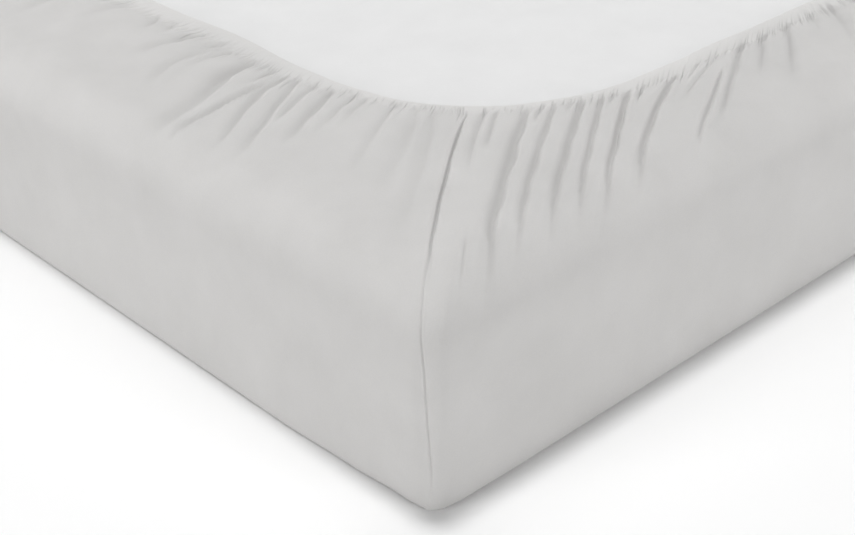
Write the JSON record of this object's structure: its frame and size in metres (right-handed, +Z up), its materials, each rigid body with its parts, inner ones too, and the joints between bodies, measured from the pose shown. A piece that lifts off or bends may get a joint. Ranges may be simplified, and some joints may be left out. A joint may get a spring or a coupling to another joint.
{
  "type": "fitted sheet on mattress",
  "caption": "Jersey fitted sheet stretched over a mattress that lies back side up, its elastic hem gathered in folds round the bare white back",
  "frame": {"origin": "middle of the underside, on the floor", "axes": "+X along the short sides, +Y along the long sides, +Z up"},
  "size_m": [1.6198, 2.018, 0.2098],
  "materials": {
    "sheet_jersey": "soft matte light grey cotton jersey",
    "mattress_cover": "matte white mattress cover"
  },
  "bodies": {
    "root": {"fitted_sheet": "sheet_jersey", "mattress": "mattress_cover"}
  },
  "joints": []
}
